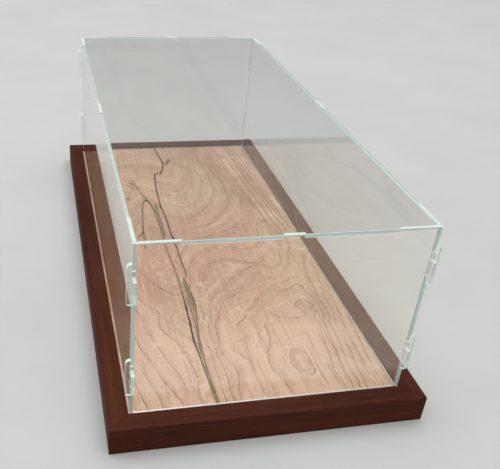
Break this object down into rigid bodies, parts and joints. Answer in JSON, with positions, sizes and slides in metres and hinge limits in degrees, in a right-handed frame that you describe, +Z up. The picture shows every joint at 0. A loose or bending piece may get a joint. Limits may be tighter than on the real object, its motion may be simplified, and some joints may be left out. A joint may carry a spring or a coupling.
{
  "type": "display case",
  "caption": "Long table-top display case: a lift-off clear acrylic cover of slotted and hooked sheets over a pale figured wood panel in a dark mitred frame.",
  "frame": {"origin": "centre of the underside", "axes": "+X across the case, +Y along it from the front panel to the back panel, +Z up"},
  "size_m": [0.29, 0.588, 0.197],
  "materials": {
    "dark_stained_wood": "satin dark red-brown stain",
    "spalted_maple": "satin, figured, with fine brown lines",
    "birch_plywood": "unfinished, sanded",
    "beech": "unfinished",
    "zinc_plated_steel": "zinc plated",
    "clear_acrylic": "clear, glossy, with flame-polished laser-cut edges"
  },
  "bodies": {
    "base": {"backing_board": "birch_plywood", "maple_panel": "spalted_maple", "frame_rail_front": "dark_stained_wood", "frame_rail_back": "dark_stained_wood", "frame_rail_left": "dark_stained_wood", "frame_rail_right": "dark_stained_wood", "mitre_spline_front_left": "beech", "mitre_spline_front_right": "beech", "mitre_spline_back_left": "beech", "mitre_spline_back_right": "beech", "backing_screw_left_front": "zinc_plated_steel", "backing_screw_left_middle": "zinc_plated_steel", "backing_screw_left_back": "zinc_plated_steel", "backing_screw_right_front": "zinc_plated_steel", "backing_screw_right_middle": "zinc_plated_steel", "backing_screw_right_back": "zinc_plated_steel", "backing_screw_front_left": "zinc_plated_steel", "backing_screw_front_right": "zinc_plated_steel", "backing_screw_back_left": "zinc_plated_steel", "backing_screw_back_right": "zinc_plated_steel"},
    "end_panels": {"front_panel": "clear_acrylic", "back_panel": "clear_acrylic"},
    "side_panels": {"left_panel": "clear_acrylic", "right_panel": "clear_acrylic"},
    "lid": {"top_panel": "clear_acrylic"}
  },
  "joints": [
    {"name": "cover_lift", "type": "slide", "parent": "base", "child": "end_panels", "axis": [0, 0, 1], "range_m": [0, 0.2]},
    {"name": "side_panels_unhook", "type": "slide", "parent": "end_panels", "child": "side_panels", "axis": [0, 0, 1], "range_m": [0, 0.0064]},
    {"name": "top_panel_lift", "type": "slide", "parent": "side_panels", "child": "lid", "axis": [0, 0, 1], "range_m": [0, 0.06]}
  ]
}
